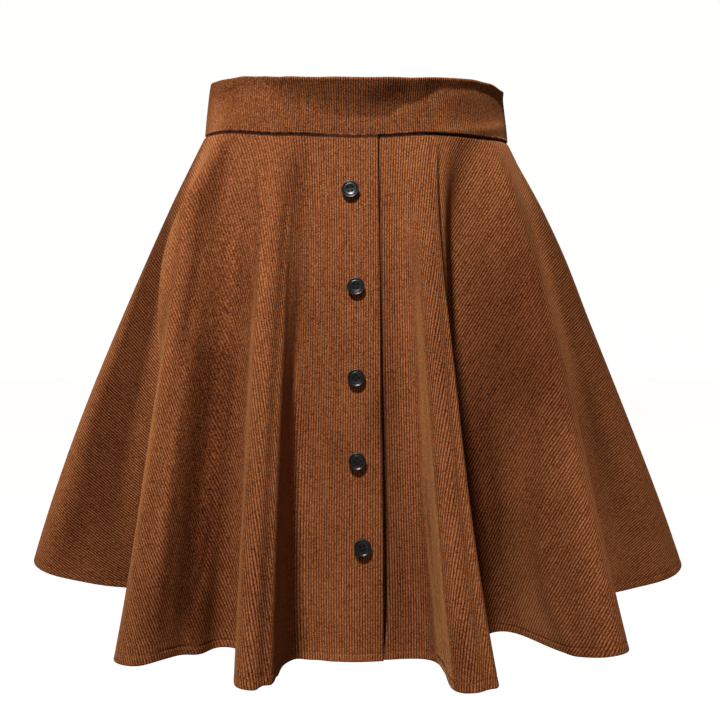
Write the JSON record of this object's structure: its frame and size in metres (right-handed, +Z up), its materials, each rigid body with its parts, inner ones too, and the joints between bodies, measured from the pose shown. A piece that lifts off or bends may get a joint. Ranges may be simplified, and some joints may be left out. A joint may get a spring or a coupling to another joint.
{
  "type": "a-line skirt",
  "caption": "Short flared skirt in brown corduroy with a wide waistband and a lapped front placket set with round black buttons.",
  "frame": {"origin": "centre of the waist opening, level with the waistband's top edge", "axes": "+Z up along the wearer, out of the waist opening; the buttoned front faces -Y; +X across the skirt, towards the wearer's left"},
  "size_m": [0.5751, 0.4765, 0.4364],
  "materials": {
    "corduroy": "matte fine-wale cotton corduroy, rust brown",
    "button": "polished black plastic, four holes"
  },
  "bodies": {
    "root": {"waistband_front": "corduroy", "waistband_back": "corduroy", "front_lap_panel": "corduroy", "front_under_panel": "corduroy", "back_left_panel": "corduroy", "back_right_panel": "corduroy", "button_1": "button", "button_2": "button", "button_3": "button", "button_4": "button", "button_5": "button"}
  },
  "joints": []
}
